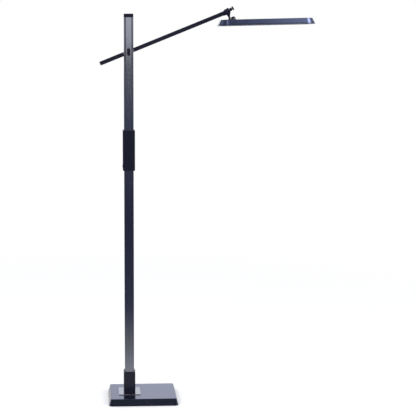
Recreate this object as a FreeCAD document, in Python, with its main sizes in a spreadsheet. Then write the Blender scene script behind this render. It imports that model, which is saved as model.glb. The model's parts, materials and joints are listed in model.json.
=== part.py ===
import FreeCAD, Part
import math
import os
import re

import Sketcher

# A pharmacy floor lamp in millimetres. +Z is up and +X is the way the arm and the head point. The
# origin is on the floor, under the axis of the column. The arm tilts about a bolt through the column,
# the head rolls about the end of the arm and tilts on the lower of its two bracket screws.

DIMENSIONS = {
    # allowances
    "margin": 1,
    "overlap": 0.5,
    "fit_gap": 0.1,
    "bolt_gap": 0.4,
    "thread_gap": 0.2,
    "running_gap": 0.05,
    "touch_gap": 0.02,
    # base
    "base_length": 284,
    "base_depth": 202,
    "base_height": 28.5,
    "base_slope": 8,
    "base_corner": 14,
    "base_shift": 55,
    "cover_lift": 1,
    "cover_wall": 2,
    "cover_ease": 0.6,
    "cover_round": 1.2,
    "pad_thick": 2,
    "pad_inset": 5,
    "weight_length": 258,
    "weight_depth": 174,
    "weight_thick": 14,
    "weight_corner": 10,
    "weight_chamfer": 1,
    "boss_width": 12,
    "boss_end": 1.5,
    "cover_screw": 4,
    "cover_screw_x": 113,
    "cover_screw_y": 70,
    "cover_screw_hole": 4.6,
    "cover_screw_head": 7.6,
    "cover_screw_recess": 9,
    "cover_screw_low": 3.4,
    "cover_screw_seat": 7,
    "cover_screw_top": 23.5,
    "cover_screw_key": 3,
    "cover_key_depth": 2.2,
    "foot_bolt": 10,
    "foot_bolt_flats": 16,
    "foot_bolt_low": 2.8,
    "foot_bolt_head": 6.4,
    "foot_bolt_top": 43,
    "foot_washer_size": 22,
    "foot_washer_thick": 1.2,
    "foot_recess": 25,
    "spacer_size": 16,
    "inlet_size": 9.6,
    "inlet_bore": 10.4,
    "inlet_back": 103.2,
    "inlet_length": 12.5,
    "inlet_flange": 14,
    "inlet_flange_back": 100.2,
    "inlet_flange_thick": 2,
    "inlet_collar": 12,
    "inlet_collar_back": 91.4,
    "inlet_collar_thick": 1.2,
    # foot of the column
    "plate_size": 90,
    "plate_thick": 2.5,
    "plate_corner": 3,
    "plate_round": 0.6,
    "socket_size": 47.5,
    "socket_height": 86.6,
    "socket_round": 0.6,
    "socket_floor": 10,
    "set_screw": 5,
    "set_screw_low": 62,
    "set_screw_high": 98,
    "set_screw_sunk": 0.6,
    "set_screw_key": 2.5,
    "set_key_depth": 2.4,
    # leads
    "lead_width": 4,
    "lead_gap": 1,
    "lead_height": 19,
    "lead_back": 13,
    "lead_bend": 10,
    "lead_start": 92,
    "lead_stop": 34,
    "arm_lead_start": 16,
    "arm_lead_length": 351,
    # column
    "column_size": 38,
    "column_wall": 1.5,
    "column_corner": 8,
    "column_joint": 1037.5,
    "column_top": 1567.5,
    "cap_thick": 14,
    "cap_round": 1.2,
    "cap_plug": 15,
    "cap_plug_wall": 2,
    "sleeve_size": 48.5,
    "sleeve_bottom": 957,
    "sleeve_height": 163.5,
    "sleeve_chamfer": 1.5,
    "sleeve_corner": 5,
    "joiner_length": 100,
    "joiner_wall": 2,
    "sleeve_screw": 4,
    "sleeve_screw_shift": 26,
    "sleeve_screw_head": 7.6,
    "sleeve_screw_rise": 2.2,
    "sleeve_screw_sunk": 0.15,
    "sleeve_screw_reach": 6.1,
    "sleeve_screw_key": 2.5,
    "sleeve_key_depth": 1.4,
    "sleeve_seat": 8.4,
    "sleeve_seat_depth": 2.4,
    # switch
    "button_height": 975,
    "button_tall": 12,
    "button_wide": 8,
    "button_corner": 1.5,
    "button_round": 0.5,
    "button_proud": 1.6,
    "button_depth": 4.8,
    "button_gap": 0.3,
    "plunger": 3.6,
    "plunger_length": 4.7,
    "plunger_bore": 4.4,
    "plunger_room": 3.6,
    "switch_hole": 5,
    "switch_wide": 14,
    "switch_tall": 20,
    "switch_depth": 12,
    "switch_corner": 1,
    "tag_thick": 0.8,
    "tag_wide": 2.8,
    "tag_side": 4,
    "tag_rise": 5,
    "tag_length": 5,
    # pivot
    "pivot_height": 1431,
    "pivot_bolt": 8,
    "bolt_reach": 11,
    "bolt_chamfer": 0.8,
    "bolt_head": 18,
    "bolt_head_rim": 0.9,
    "bolt_head_rise": 3.9,
    "washer_size": 22,
    "washer_thick": 2,
    "drum_radius": 12,
    "collar_proud": 4,
    "slot_gap": 0.7,
    "slot_side": 1,
    "slot_corner": 1.5,
    "lead_drop": 15,
    "lead_port": 5.6,
    "knob_plate_wide": 15,
    "knob_plate_tall": 34,
    "knob_plate_corner": 7.4,
    "knob_plate_thick": 1,
    "knob_plate_round": 0.4,
    "knob_gap": 0.2,
    "knob_boss": 11.4,
    "knob_boss_rise": 2,
    "grip_wide": 12,
    "grip_tall": 28.5,
    "grip_corner": 5.9,
    "grip_depth": 11.5,
    "grip_round": 2.2,
    "insert_size": 10,
    "insert_length": 9.6,
    # arm
    "arm_angle": 21.8,
    "arm_low": -15,
    "arm_high": 45,
    "arm_size": 16,
    "arm_wall": 1.3,
    "arm_corner": 2.6,
    "arm_front": 391,
    "arm_rear": 121,
    "spigot_length": 20,
    "spigot_corner": 1.2,
    "end_cap_thick": 2,
    "end_cap_round": 0.5,
    "end_plug": 10,
    "end_plug_wall": 2,
    "end_plug_corner": 1,
    "arm_screw": 2.4,
    "arm_screw_shift": 10,
    "arm_screw_hole": 3.2,
    "arm_screw_head": 5.4,
    "arm_screw_rise": 1.6,
    "arm_screw_reach": 3.1,
    "arm_screw_room": 3.5,
    "arm_screw_key": 2,
    "arm_key_depth": 1,
    "fitting_length": 17,
    "fitting_proud": 0.3,
    "fitting_chamfer": 0.5,
    "fitting_plug": 18,
    # joint at the end of the arm
    "joint_reach": 424,
    "joint_rise": 1.5,
    "swivel_angle": 30,
    "swivel_radius": 12,
    "swivel_half": 9,
    "swivel_edge": 1,
    "groove_half": 1.6,
    "groove_depth": 0.8,
    "swivel_washer": 15,
    "swivel_washer_hole": 8.2,
    "swivel_washer_thick": 1.2,
    "journal_radius": 7,
    "journal_back": 0.3,
    "journal_front": 0.4,
    "cone_length": 13,
    "cone_small": 7.4,
    "cone_large": 10.8,
    "cone_face": 10.2,
    "cone_edge": 1,
    "stub_radius": 4,
    "stub_length": 12,
    "end_knob_gap": 1.9,
    "end_knob_bore": 8.12,
    "end_knob_room": 11.2,
    "end_boss_radius": 6,
    "end_boss_length": 4.2,
    "end_flange_radius": 7.3,
    "end_flange_length": 7,
    "end_waist_radius": 4.5,
    "end_waist_length": 13,
    "end_edge": 0.6,
    "end_rim_radius": 8.7,
    "end_rim_edge": 0.2,
    "end_rim_length": 16,
    "end_face": 16.9,
    "end_ring_size": 11.4,
    "end_ring_bore": 9.04,
    "end_ring_shift": 7.8,
    "end_ring_length": 5,
    "neck_back": 4.3,
    "neck_drop": 29.7,
    "neck_width": 6.4,
    "neck_corner": 2,
    "neck_shift": 0.4,
    "neck_end": 1,
    "neck_root_width": 17,
    "neck_root_depth": 15,
    "neck_root_corner": 3,
    "neck_root_sunk": 3,
    "eye_radius": 4.3,
    "eye_half": 4,
    # head, measured from the axis that it tilts on
    "head_angle": 1.2,
    "head_length": 387,
    "head_depth": 116,
    "head_slope": 12,
    "head_height": 23.5,
    "head_corner": 38,
    "head_centre": 143.5,
    "head_top": -5.2,
    "head_wall": 2,
    "head_round": 1.5,
    "head_ease": 0.2,
    "frame_height": 5,
    "frame_lip": 11,
    "frame_gap": 0.3,
    "frame_round": 0.6,
    "frame_window": 15,
    "frame_seat": 12,
    "frame_seat_lift": 1.6,
    "frame_screw": 2.7,
    "frame_screw_x": 143.5,
    "frame_screw_inset": 8.5,
    "frame_screw_head": 5.4,
    "frame_screw_rise": 1.7,
    "frame_screw_length": 7.4,
    "frame_screw_hole": 3.2,
    "frame_screw_recess": 6,
    "frame_screw_sunk": 0.3,
    "frame_recess_depth": 2,
    "frame_slot_long": 4,
    "frame_slot_wide": 0.8,
    "frame_slot_depth": 0.7,
    "post_size": 6,
    "post_height": 5.2,
    "post_bore": 2.9,
    "post_bore_depth": 4.6,
    "diffuser_thick": 2.5,
    "diffuser_gap": 1.4,
    "spreader_inset": 56,
    "spreader_depth": 62,
    "spreader_corner": 12,
    "spreader_thick": 3,
    "spreader_hole": 7.4,
    "strip_inset": 75,
    "strip_depth": 8,
    "strip_thick": 1.6,
    "strip_side": 18,
    "chip_length": 3.5,
    "chip_depth": 2.8,
    "chip_thick": 0.8,
    "chip_pitch": 22,
    "reflector_inset": 22,
    "reflector_slant": 20,
    "reflector_thick": 0.8,
    "reflector_gap": 0.4,
    "reflector_slot": 9,
    "foot_thick": 1.6,
    "foot_length": 31,
    "foot_depth": 34,
    "foot_corner": 5,
    "foot_shift": 8,
    "cheek_thick": 3.2,
    "cheek_gap": 0.3,
    "cheek_left": -5.6,
    "cheek_right": 21.6,
    "cheek_eye": 11.2,
    "cheek_end": 15.8,
    "cheek_end_shift": 0.7,
    "block_left": 8.4,
    "block_right": 20.6,
    "block_end": 13.8,
    "screw_pitch": 14.4,
    "bracket_screw": 4,
    "bracket_screw_head": 6.6,
    "bracket_screw_rise": 2.6,
    "bracket_screw_round": 1,
    "bracket_screw_reach": 3.4,
    "bracket_screw_key": 2.6,
    "bracket_key_depth": 1.4,
    "nut_flats": 7,
    "nut_thick": 2.8,
    "bracket_bolt": 2.5,
    "bracket_bolt_hole": 3.4,
    "bracket_bolt_thread": 2.7,
    "bracket_bolt_head": 6,
    "bracket_bolt_rise": 2,
    "bracket_bolt_reach": 1.4,
    "bracket_bolt_key": 2.5,
    "bracket_bolt_left": -2.5,
    "bracket_bolt_right": 18.5,
    "bracket_bolt_side": 12.5,
}

SWIVEL_X = "(joint_reach*cos(arm_angle) - joint_rise*sin(arm_angle))"
SWIVEL_Z = "(pivot_height + joint_reach*sin(arm_angle) + joint_rise*cos(arm_angle))"
HEAD_X = SWIVEL_X + " - neck_back*cos(swivel_angle) + neck_drop*sin(swivel_angle)"
HEAD_Z = SWIVEL_Z + " - neck_back*sin(swivel_angle) - neck_drop*cos(swivel_angle)"

# Where each group's own coordinates lie: x and z of their origin, and how far their x axis points up.
FRAMES = {
    "stand": None,
    "arm": ("0", "pivot_height", "arm_angle"),
    "swivel": (SWIVEL_X, SWIVEL_Z, "swivel_angle"),
    "head": (HEAD_X, HEAD_Z, "head_angle"),
}
UP = FreeCAD.Vector(0, 0, 1)
TOLERANCE = 0.01

document = FreeCAD.newDocument("FloorLamp")
sheet = document.addObject("Spreadsheet::Sheet", "Sizes")
for row, (alias, size) in enumerate(DIMENSIONS.items(), 1):
    sheet.set(f"A{row}", alias)
    sheet.set(f"B{row}", str(size))
    sheet.setAlias(f"B{row}", alias)
document.recompute()
sub_parts = []


def bound(expression):
    """The expression with each size named as a cell of the sheet."""
    return re.sub(
        r"[a-z][a-z_]*",
        lambda word: "Sizes." + word.group() if word.group() in DIMENSIONS else word.group(),
        expression,
    )


def value(expression):
    """The number that an expression stands for now."""
    result = sheet.evalExpression(bound(expression))
    return float(getattr(result, "Value", result))


# Bodies, sketches and features


def new_body(name, group="stand"):
    """A body that is one sub-part, placed in its group's coordinates."""
    body = document.addObject("PartDesign::Body", name)
    body.Label = name
    frame = FRAMES[group]
    if frame:
        raised = FreeCAD.Rotation(FreeCAD.Vector(0, -1, 0), value(frame[2]))
        body.Placement = FreeCAD.Placement(FreeCAD.Vector(), raised)
        body.setExpression("Placement.Base.x", bound(frame[0]))
        body.setExpression("Placement.Base.z", bound(frame[1]))
        body.setExpression("Placement.Rotation.Angle", bound(frame[2]))
    sub_parts.append(body)
    return body


def new_sketch(body, plane, start, shift=("0", "0")):
    """A sketch on an origin plane, moved along the plane's normal and within the plane."""
    sketch = body.newObject("Sketcher::SketchObject", body.Name + "_sketch")
    support = next(o for o in body.Origin.OriginFeatures if o.Role == plane + "_Plane")
    sketch.AttachmentSupport = [(support, "")]
    sketch.MapMode = "FlatFace"
    sketch.setExpression("AttachmentOffset.Base.x", bound(shift[0]))
    sketch.setExpression("AttachmentOffset.Base.y", bound(shift[1]))
    sketch.setExpression("AttachmentOffset.Base.z", bound(start))
    return sketch


def measure(sketch, kind, *where_and_size):
    """A dimension in a sketch, bound to the sheet."""
    *where, size = where_and_size
    index = sketch.addConstraint(Sketcher.Constraint(kind, *where, value(size)))
    sketch.setExpression(f"Constraints[{index}]", bound(size))


def fix_point(sketch, curve, point, x, y):
    measure(sketch, "DistanceX", -1, 1, curve, point, x)
    measure(sketch, "DistanceY", -1, 1, curve, point, y)


def circle(diameter, x="0", y="0"):
    def draw(sketch):
        centre = FreeCAD.Vector(value(x), value(y), 0)
        index = sketch.addGeometry(Part.Circle(centre, UP, value(diameter) / 2))
        fix_point(sketch, index, 3, x, y)
        measure(sketch, "Diameter", index, diameter)

    return draw


def polygon(*points):
    def draw(sketch):
        spots = [FreeCAD.Vector(value(x), value(y), 0) for x, y in points]
        ends = spots[1:] + spots[:1]
        lines = [sketch.addGeometry(Part.LineSegment(a, b)) for a, b in zip(spots, ends)]
        for line, following in zip(lines, lines[1:] + lines[:1]):
            sketch.addConstraint(Sketcher.Constraint("Coincident", line, 2, following, 1))
        for line, (x, y) in zip(lines, points):
            fix_point(sketch, line, 1, x, y)

    return draw


def hexagon(across_flats, x="0", y="0"):
    """With two of its flats along the sketch's horizontal axis."""
    corner = f"({across_flats})/2/cos(30)"
    turns = range(0, 360, 60)
    return polygon(*((f"{x} + {corner}*cos({a})", f"{y} + {corner}*sin({a})") for a in turns))


def rectangle(width, depth, x="0", y="0"):
    left, right = f"{x} - ({width})/2", f"{x} + ({width})/2"
    low, high = f"{y} - ({depth})/2", f"{y} + ({depth})/2"
    return polygon((left, low), (right, low), (right, high), (left, high))


def rounded_rectangle(width, depth, radius):
    """Centred on the sketch's origin, so the sketch is moved to put it elsewhere."""

    def draw(sketch):
        arc_radius = value(radius)
        inner_x = value(width) / 2 - arc_radius
        inner_y = value(depth) / 2 - arc_radius
        arcs = []
        for turn, (side_x, side_y) in enumerate([(1, 1), (-1, 1), (-1, -1), (1, -1)]):
            centre = FreeCAD.Vector(side_x * inner_x, side_y * inner_y, 0)
            round_corner = Part.Circle(centre, UP, arc_radius)
            begin = turn * math.pi / 2
            arc = Part.ArcOfCircle(round_corner, begin, begin + math.pi / 2)
            arcs.append(arc)
        lines = [
            sketch.addGeometry(Part.LineSegment(arc.EndPoint, following.StartPoint))
            for arc, following in zip(arcs, arcs[1:] + arcs[:1])
        ]
        corners = [sketch.addGeometry(arc) for arc in arcs]
        for turn, line in enumerate(lines):
            along = "Vertical" if turn % 2 else "Horizontal"
            sketch.addConstraint(Sketcher.Constraint(along, line))
            sketch.addConstraint(Sketcher.Constraint("Tangent", corners[turn], 2, line, 1))
            following = corners[(turn + 1) % 4]
            sketch.addConstraint(Sketcher.Constraint("Tangent", line, 2, following, 1))
            if turn:
                sketch.addConstraint(Sketcher.Constraint("Equal", corners[0], corners[turn]))
        middle = Sketcher.Constraint("Symmetric", corners[0], 3, corners[2], 3, -1, 1)
        sketch.addConstraint(middle)
        measure(sketch, "DistanceX", lines[1], 1, lines[3], 1, width)
        measure(sketch, "DistanceY", lines[2], 1, lines[0], 1, depth)
        measure(sketch, "Radius", corners[0], radius)

    return draw


def pad(body, plane, start, length, *outlines, shift=("0", "0")):
    """Adds a prism that starts at a distance along the plane's normal and grows along it."""
    sketch = new_sketch(body, plane, start, shift)
    for draw in outlines:
        draw(sketch)
    feature = body.newObject("PartDesign::Pad", body.Name + "_pad")
    feature.Profile = sketch
    feature.setExpression("Length", bound(length))
    return feature


def cut(body, plane, start, length, *outlines, shift=("0", "0")):
    """Removes such a prism, and checks that something was removed."""
    document.recompute()
    before = body.Shape.Volume
    sketch = new_sketch(body, plane, start, shift)
    for draw in outlines:
        draw(sketch)
    feature = body.newObject("PartDesign::Pocket", body.Name + "_pocket")
    feature.Profile = sketch
    feature.Reversed = True
    feature.setExpression("Length", bound(length))
    document.recompute()
    if before - body.Shape.Volume < TOLERANCE:
        raise RuntimeError(f"a pocket of {body.Name} removed nothing")
    return feature


def revolve(body, *points, plane="XZ"):
    """Turns an outline about its sketch's horizontal axis."""
    sketch = new_sketch(body, plane, "0")
    polygon(*points)(sketch)
    feature = body.newObject("PartDesign::Revolution", body.Name + "_turned")
    feature.Profile = sketch
    feature.ReferenceAxis = (sketch, ["H_Axis"])
    feature.Angle = 360
    return feature


def loft(body, plane, *sections):
    """A straight-sided solid between outlines on parallel planes: (start, outline, shift) of each."""
    sketches = []
    for start, outline, shift in sections:
        sketch = new_sketch(body, plane, start, shift)
        outline(sketch)
        sketches.append(sketch)
    feature = body.newObject("PartDesign::AdditiveLoft", body.Name + "_loft")
    feature.Profile = sketches[0]
    feature.Sections = sketches[1:]
    feature.Ruled = True
    return feature


def dress(body, kind, size, wanted):
    """A Fillet or Chamfer of every edge of the body that wanted(edge) picks."""
    document.recompute()
    edges = enumerate(body.Tip.Shape.Edges, 1)
    names = [f"Edge{number}" for number, edge in edges if wanted(edge)]
    if not names:
        raise RuntimeError(f"no edge of {body.Name} to dress")
    feature = body.newObject("PartDesign::" + kind, body.Name + "_edges")
    feature.Base = (body.Tip if body.Tip != feature else feature.BaseFeature, names)
    feature.setExpression("Radius" if kind == "Fillet" else "Size", bound(size))
    return feature


def slope_sides(body, low, high, level, slant, outward=False):
    """Leans the side faces between two heights, about the flat face at a level of the body."""
    document.recompute()
    base = body.Tip
    low, high, level = value(low), value(high), value(level)
    sides, neutral = [], None
    for number, face in enumerate(base.Shape.Faces, 1):
        box = face.BoundBox
        if box.ZLength < TOLERANCE:
            if abs(box.ZMin - level) < TOLERANCE:
                neutral = f"Face{number}"
        elif abs(box.ZMin - low) < TOLERANCE and abs(box.ZMax - high) < TOLERANCE:
            sides.append(f"Face{number}")
    feature = body.newObject("PartDesign::Draft", body.Name + "_slope")
    feature.Base = (base, sides)
    feature.NeutralPlane = (base, [neutral])
    feature.Reversed = outward
    feature.setExpression("Angle", bound(slant))
    return feature


def lies_at(axis, place):
    """Picks the edges that lie wholly at one place along an axis, in the body's own coordinates."""

    def wanted(edge):
        box = edge.BoundBox
        low, high = getattr(box, axis + "Min"), getattr(box, axis + "Max")
        return abs(low - value(place)) < TOLERANCE and abs(high - value(place)) < TOLERANCE

    return wanted


# Base


def base_pad():
    body = new_body("base_pad")
    outline = rounded_rectangle(
        "base_length - 2*pad_inset", "base_depth - 2*pad_inset", "base_corner - pad_inset"
    )
    pad(body, "XY", "0", "pad_thick", outline, shift=("base_shift", "0"))


def cover_outline(inset):
    return rounded_rectangle(
        f"base_length - 2*({inset})", f"base_depth - 2*({inset})", f"base_corner - ({inset})"
    )


def cover_screw_places():
    return [
        (x, y)
        for x in ("-cover_screw_x", "cover_screw_x")
        for y in ("-cover_screw_y", "cover_screw_y")
    ]


def foot_holes():
    """The ways through for the foot bolt and the lead."""
    return circle("foot_bolt + bolt_gap"), circle("2*lead_width", "0", "lead_back")


def base_cover():
    body = new_body("base_cover")
    shift = ("base_shift", "0")
    slant = "atan(base_slope/(base_height - cover_lift))"
    ceiling = "base_height - cover_wall"
    pad(body, "XY", "cover_lift", "base_height - cover_lift", cover_outline("0"), shift=shift)
    slope_sides(body, "cover_lift", "base_height", "cover_lift", slant)
    dress(body, "Fillet", "cover_round", lies_at("Z", "base_height"))
    cavity = cover_outline("base_slope + cover_wall - cover_ease")
    cut(body, "XY", "0", ceiling, cavity, shift=shift)
    slope_sides(body, "cover_lift", ceiling, ceiling, slant, outward=True)
    weight_top = "pad_thick + weight_thick"
    room = f"{ceiling} - ({weight_top})"
    bosses = [circle("boss_width", x, y) for x, y in cover_screw_places()]
    pad(body, "XY", weight_top, room + " + overlap", *bosses, shift=shift)
    threads = [circle("cover_screw + thread_gap", x, y) for x, y in cover_screw_places()]
    cut(body, "XY", weight_top, room + " - boss_end", *threads, shift=shift)
    cut(body, "XY", ceiling + " - margin", "cover_wall + 2*margin", *foot_holes())
    inlet = circle("inlet_bore", "0", "lead_height")
    cut(body, "XZ", "-base_depth/2", "base_slope + cover_wall", inlet)


def base_weight():
    body = new_body("base_weight")
    shift = ("base_shift", "0")
    outline = rounded_rectangle("weight_length", "weight_depth", "weight_corner")
    top = "pad_thick + weight_thick"
    pad(body, "XY", "pad_thick", "weight_thick", outline, shift=shift)
    dress(body, "Chamfer", "weight_chamfer", lies_at("Z", top))
    holes = [circle("cover_screw_hole", x, y) for x, y in cover_screw_places()]
    recesses = [circle("cover_screw_recess", x, y) for x, y in cover_screw_places()]
    cut(body, "XY", "0", f"{top} + margin", *holes, shift=shift)
    cut(body, "XY", "0", "cover_screw_seat", *recesses, shift=shift)
    cut(body, "XY", "0", f"{top} + margin", circle("foot_bolt + bolt_gap"))
    seat = "foot_bolt_low + foot_bolt_head + foot_washer_thick + 2*fit_gap"
    cut(body, "XY", "0", seat, circle("foot_recess"))


def cover_screws():
    body = new_body("cover_screws")
    shift = ("base_shift", "0")
    places = cover_screw_places()
    heads = [circle("cover_screw_head", x, y) for x, y in places]
    pad(body, "XY", "cover_screw_low", "cover_screw_seat - cover_screw_low", *heads, shift=shift)
    shanks = [circle("cover_screw", x, y) for x, y in places]
    length = "cover_screw_top - cover_screw_seat + overlap"
    pad(body, "XY", "cover_screw_seat - overlap", length, *shanks, shift=shift)
    keys = [hexagon("cover_screw_key", x, y) for x, y in places]
    cut(body, "XY", "cover_screw_low - margin", "cover_key_depth + margin", *keys, shift=shift)


def foot_bolt():
    body = new_body("foot_bolt")
    seat = "foot_bolt_low + foot_bolt_head"
    pad(body, "XY", "foot_bolt_low", "foot_bolt_head", hexagon("foot_bolt_flats"))
    pad(body, "XY", f"{seat} - overlap", f"foot_bolt_top - ({seat}) + overlap", circle("foot_bolt"))


def foot_washer():
    body = new_body("foot_washer")
    seat = "foot_bolt_low + foot_bolt_head + fit_gap"
    outlines = circle("foot_washer_size"), circle("foot_bolt + bolt_gap")
    pad(body, "XY", seat, "foot_washer_thick", *outlines)


def base_spacer():
    body = new_body("base_spacer")
    start = "pad_thick + weight_thick"
    length = f"base_height - cover_wall - ({start})"
    pad(body, "XY", start, length, circle("spacer_size"), circle("foot_bolt + bolt_gap"))


def cord_inlet():
    """The bush in the rear of the cover that the mains lead would come through."""
    body = new_body("cord_inlet")
    flange = circle("inlet_flange", "0", "lead_height")
    pad(body, "XZ", "-inlet_flange_back", "inlet_flange_thick", flange)
    pad(body, "XZ", "-inlet_back", "inlet_length", circle("inlet_size", "0", "lead_height"))
    collar = circle("inlet_collar", "0", "lead_height")
    pad(body, "XZ", "-inlet_collar_back", "inlet_collar_thick", collar)
    bore = circle("lead_width + 2*lead_gap", "0", "lead_height")
    cut(body, "XZ", "-inlet_back - margin", "inlet_length + 3*margin", bore)


# Column


def trim_plate():
    body = new_body("trim_plate")
    outline = rounded_rectangle("plate_size", "plate_size", "plate_corner")
    pad(body, "XY", "base_height", "plate_thick", outline)
    dress(body, "Fillet", "plate_round", lies_at("Z", "base_height + plate_thick"))
    cut(body, "XY", "base_height - margin", "plate_thick + 2*margin", *foot_holes())


def column_outline(offset="0"):
    size = f"column_size + 2*({offset})"
    return rounded_rectangle(size, size, f"column_corner + {offset}")


def lower_socket():
    body = new_body("lower_socket")
    bottom = "base_height + plate_thick"
    block = rounded_rectangle("socket_size", "socket_size", "sleeve_corner")
    pad(body, "XY", bottom, "socket_height", block)
    dress(body, "Fillet", "socket_round", lies_at("Z", f"{bottom} + socket_height"))
    bore = f"{bottom} + socket_floor"
    cut(body, "XY", bore, "socket_height", column_outline("fit_gap"))
    holes = circle("foot_bolt + thread_gap"), circle("2*lead_width", "0", "lead_back")
    cut(body, "XY", f"{bottom} - margin", "socket_floor + 2*margin", *holes)
    threads = [circle("set_screw + fit_gap", "0", z) for z in ("set_screw_low", "set_screw_high")]
    wall = "(socket_size - column_size)/2 + 2*margin"
    cut(body, "XZ", "-socket_size/2 - margin", wall, *threads)


def socket_screws():
    """Set screws in the rear wall of the socket, their tips on the column."""
    body = new_body("socket_screws")
    heights = ("set_screw_low", "set_screw_high")
    back = "(socket_size/2 - set_screw_sunk)"
    shanks = [circle("set_screw", "0", height) for height in heights]
    pad(body, "XZ", f"-{back}", f"{back} - column_size/2 - touch_gap", *shanks)
    keys = [hexagon("set_screw_key", "0", height) for height in heights]
    cut(body, "XZ", f"-{back} - margin", "set_key_depth + margin", *keys)


def tube(body, bottom, length, offset="0", wall="column_wall"):
    pad(body, "XY", bottom, length, column_outline(offset))
    cut(body, "XY", f"{bottom} - 1", f"{length} + 2", column_outline(f"{offset} - {wall}"))


def sleeve_screw_heights():
    return [f"column_joint {side} sleeve_screw_shift" for side in "-+"]


def lower_column():
    body = new_body("lower_column")
    bottom = "base_height + plate_thick + socket_floor"
    tube(body, bottom, f"column_joint - ({bottom})")
    outside, through = "-column_size/2 - margin", "column_wall + 2*margin"
    cut(body, "YZ", outside, through, circle("switch_hole", "0", "button_height"))
    low, _ = sleeve_screw_heights()
    cut(body, "XZ", outside, through, circle("sleeve_screw + bolt_gap", "0", low))


def upper_column():
    body = new_body("upper_column")
    tube(body, "column_joint", "column_top - column_joint")
    half = "column_size/2"
    high = f"({half}*tan(arm_high) + arm_size/2/cos(arm_high) + slot_gap)"
    low = f"({half}*tan(-arm_low) + arm_size/2/cos(arm_low) + slot_gap)"
    width, reach = "arm_size + slot_side", f"({half} + margin)"
    for side, centre in (("0", f"({high} - {low})/2"), (f"-{reach}", f"({low} - {high})/2")):
        slot = rounded_rectangle(width, f"{high} + {low}", "slot_corner")
        cut(body, "YZ", side, reach, slot, shift=("0", f"pivot_height + {centre}"))
    outside, through = f"-{half} - margin", "column_wall + 2*margin"
    bolt_hole = "pivot_bolt + bolt_gap"
    cut(body, "XZ", f"{half} - column_wall - margin", through, circle(bolt_hole, "0", "pivot_height"))
    cut(body, "XZ", outside, through, rectangle(bolt_hole, bolt_hole, "0", "pivot_height"))
    _, upper = sleeve_screw_heights()
    cut(body, "XZ", outside, through, circle("sleeve_screw + bolt_gap", "0", upper))


def column_cap():
    body = new_body("column_cap")
    pad(body, "XY", "column_top", "cap_thick", column_outline())
    dress(body, "Fillet", "cap_round", lies_at("Z", "column_top + cap_thick"))
    plug = "-column_wall - fit_gap"
    pad(body, "XY", "column_top - cap_plug", "cap_plug + overlap", column_outline(plug))
    room = column_outline(plug + " - cap_plug_wall")
    cut(body, "XY", "column_top - cap_plug - margin", "cap_plug + margin", room)


def column_joiner():
    body = new_body("column_joiner")
    bottom = "column_joint - joiner_length/2"
    tube(body, bottom, "joiner_length", "-column_wall - fit_gap", "joiner_wall")
    threads = [circle("sleeve_screw + fit_gap", "0", height) for height in sleeve_screw_heights()]
    cut(body, "XZ", "-column_size/2", "column_wall + joiner_wall + 2*margin", *threads)


def mid_sleeve():
    body = new_body("mid_sleeve")
    block = rounded_rectangle("sleeve_size", "sleeve_size", "sleeve_corner")
    pad(body, "XY", "sleeve_bottom", "sleeve_height", block)
    for end in ("sleeve_bottom", "sleeve_bottom + sleeve_height"):
        dress(body, "Chamfer", "sleeve_chamfer", lies_at("Z", end))
    bore = column_outline("fit_gap")
    cut(body, "XY", "sleeve_bottom - margin", "sleeve_height + 2*margin", bore)
    outside, through = "-sleeve_size/2 - margin", "(sleeve_size - column_size)/2 + 2*margin"
    window = rounded_rectangle(
        "button_wide + 2*button_gap", "button_tall + 2*button_gap", "button_corner + button_gap"
    )
    cut(body, "YZ", outside, through, window, shift=("0", "button_height"))
    holes = [circle("sleeve_screw + bolt_gap", "0", height) for height in sleeve_screw_heights()]
    seats = [circle("sleeve_seat", "0", height) for height in sleeve_screw_heights()]
    cut(body, "XZ", outside, through, *holes)
    cut(body, "XZ", outside, "sleeve_seat_depth + margin", *seats)


def sleeve_screws():
    """Cap screws that go through the sleeve and one column tube each, into the joiner."""
    body = new_body("sleeve_screws")
    heights = sleeve_screw_heights()
    back = "(sleeve_size/2 - sleeve_screw_sunk)"
    heads = [circle("sleeve_screw_head", "0", height) for height in heights]
    pad(body, "XZ", f"-{back}", "sleeve_screw_rise", *heads)
    shanks = [circle("sleeve_screw", "0", height) for height in heights]
    start = f"-{back} + sleeve_screw_rise - overlap"
    pad(body, "XZ", start, "sleeve_screw_reach + overlap", *shanks)
    keys = [hexagon("sleeve_screw_key", "0", height) for height in heights]
    cut(body, "XZ", f"-{back} - margin", "sleeve_key_depth + margin", *keys)


def switch_body():
    body = new_body("switch_body")
    inner = "(column_size/2 - column_wall)"
    box = rounded_rectangle("switch_wide", "switch_tall", "switch_corner")
    pad(body, "YZ", f"-{inner}", "switch_depth", box, shift=("0", "button_height"))
    bore = circle("plunger_bore", "0", "button_height")
    cut(body, "YZ", f"-{inner} - margin", "plunger_room + margin", bore)
    tags = [
        rectangle("tag_thick", "tag_wide", y, f"button_height {side} tag_rise")
        for y in ("-tag_side", "tag_side")
        for side in "-+"
    ]
    pad(body, "YZ", f"-{inner} + switch_depth - overlap", "tag_length + overlap", *tags)


def switch_button():
    body = new_body("switch_button")
    face = "-sleeve_size/2 - button_proud"
    shift = ("0", "button_height")
    keycap = rounded_rectangle("button_wide", "button_tall", "button_corner")
    pad(body, "YZ", face, "button_depth", keycap, shift=shift)
    dress(body, "Fillet", "button_round", lies_at("X", face))
    stem = f"{face} + button_depth - overlap"
    pad(body, "YZ", stem, "plunger_length + overlap", circle("plunger"), shift=shift)


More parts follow.
